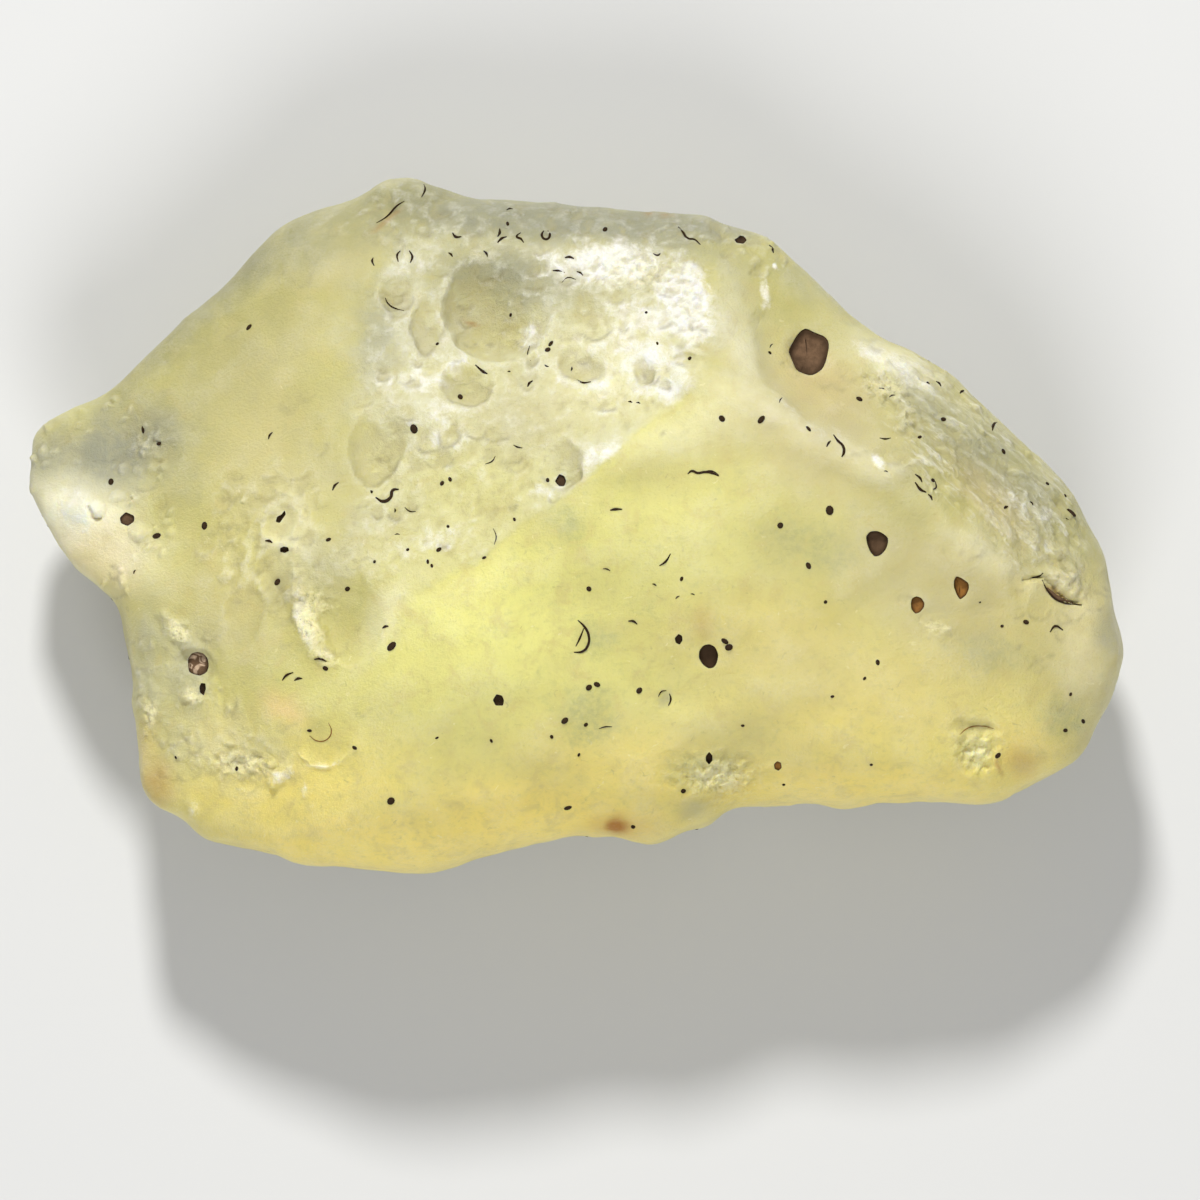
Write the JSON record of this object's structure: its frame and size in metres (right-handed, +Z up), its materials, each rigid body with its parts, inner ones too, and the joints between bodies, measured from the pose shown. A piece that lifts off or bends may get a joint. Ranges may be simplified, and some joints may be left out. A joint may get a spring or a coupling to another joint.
{
  "type": "raw desert glass",
  "caption": "Raw wind-worn lump of pale yellow natural desert glass with a scooped face, soft ridges and open pits.",
  "frame": {"origin": "below the middle of the lump, at the height of the flat foot that it lies on", "axes": "+X along the lump from the knob towards the nose, +Y across it towards the crest, +Z up from the surface that it lies on"},
  "size_m": [0.0546, 0.0348, 0.0179],
  "materials": {
    "glass": "frosted, milky yellow, wind-worn natural glass that lets light through"
  },
  "bodies": {
    "root": {"desert_glass": "glass"}
  },
  "joints": []
}
